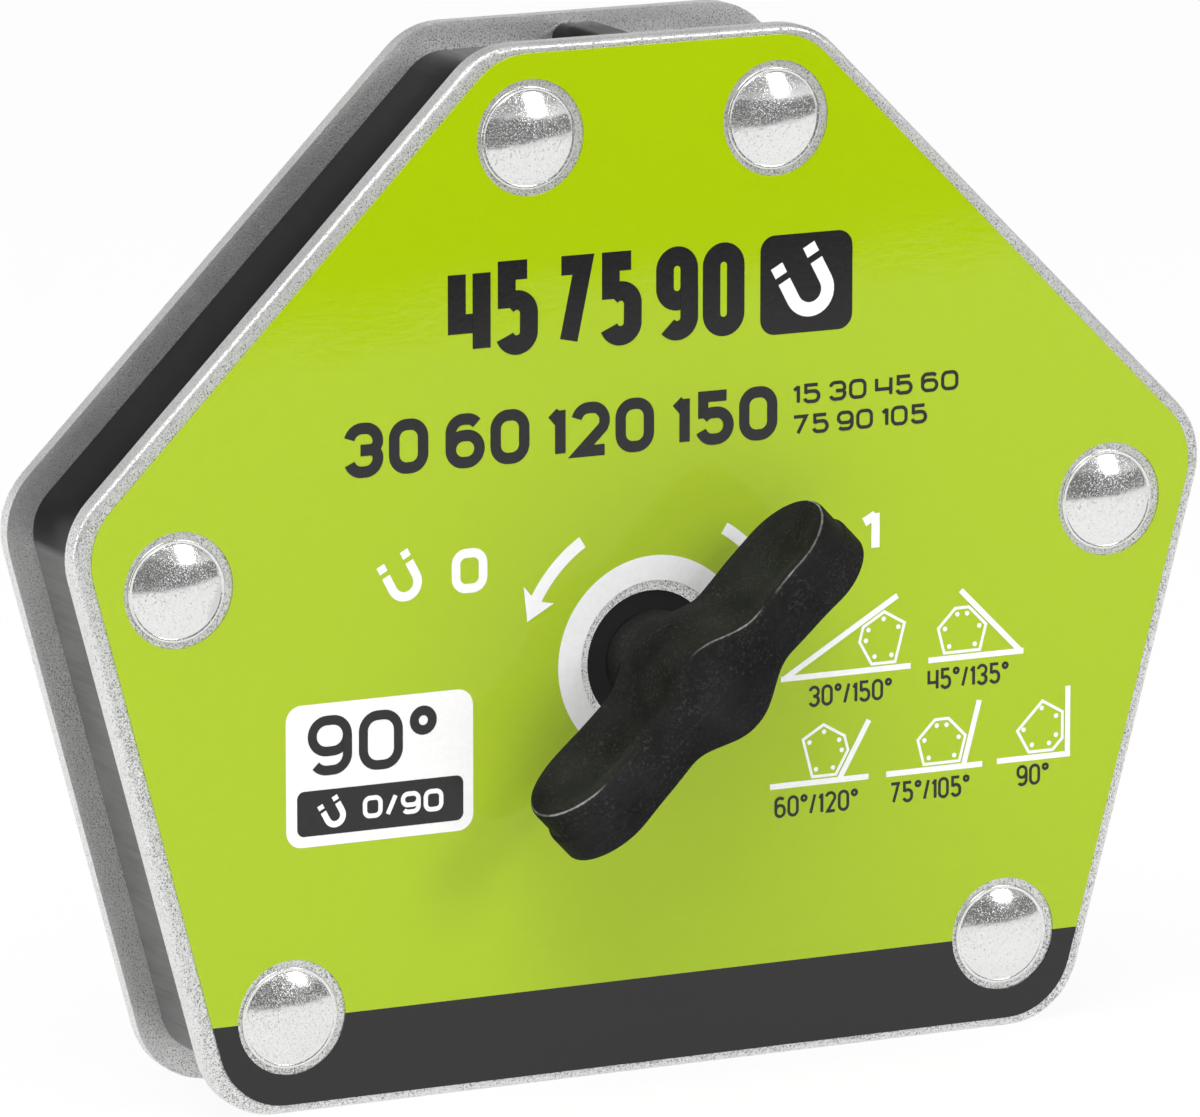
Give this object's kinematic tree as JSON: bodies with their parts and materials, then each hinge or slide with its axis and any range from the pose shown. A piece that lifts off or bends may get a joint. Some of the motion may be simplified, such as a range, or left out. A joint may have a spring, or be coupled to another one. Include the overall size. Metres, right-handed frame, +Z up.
{
  "type": "welding magnet holder",
  "caption": "Switchable welding magnet holder: polygonal steel side plates riveted over a moulded core, a printed front film, and a bar handle that turns the magnet drum inside.",
  "frame": {"origin": "middle of the bounding box, on the plane of the base edges", "axes": "+Z up from the base edge to the top edge; the handle and the printed front face -Y; +X to the right seen from the front"},
  "size_m": [0.1478, 0.0446, 0.1245],
  "materials": {
    "plate_steel": "zinc plated, fine tumbled speckle, satin",
    "core_plastic": "moulded black, satin",
    "printed_film": "printed green film with a dark band, semi gloss",
    "rivet_metal": "polished dome with light scratches",
    "pole_steel": "bare ground steel",
    "pad_brass": "sheet brass",
    "bush_plastic": "black acetal",
    "pin_steel": "bright ground steel",
    "cast_alloy": "die cast, as cast",
    "magnet_plating": "nickel plated magnet",
    "handle_plastic": "black moulding with a fine grain",
    "seal_rubber": "nitrile rubber",
    "fastener_steel": "zinc plated"
  },
  "bodies": {
    "block": {"front_plate": "plate_steel", "rear_plate": "plate_steel", "core_frame": "core_plastic", "front_label": "printed_film", "rivets": "rivet_metal", "pole_shoe_left": "pole_steel", "pole_shoe_right": "pole_steel", "shoe_pad_left": "pad_brass", "shoe_pad_right": "pad_brass", "front_bush": "bush_plastic", "rear_bush": "bush_plastic", "stop_pin": "pin_steel"},
    "rotor": {"rotor_carrier": "cast_alloy", "rotor_cap": "cast_alloy", "cap_screws": "fastener_steel", "rotor_magnet_upper": "magnet_plating", "rotor_magnet_lower": "magnet_plating", "rotor_pole_left": "pole_steel", "rotor_pole_right": "pole_steel", "spindle": "pin_steel", "handle": "handle_plastic", "stem_seal": "seal_rubber", "retaining_washer": "fastener_steel", "lock_washer": "fastener_steel", "retaining_screw": "fastener_steel"}
  },
  "joints": [
    {"name": "handle_turn", "type": "hinge", "parent": "block", "child": "rotor", "pos_m": [0, 0, 0.05], "axis": [0, -1, 0], "range_deg": [0, 90]}
  ]
}
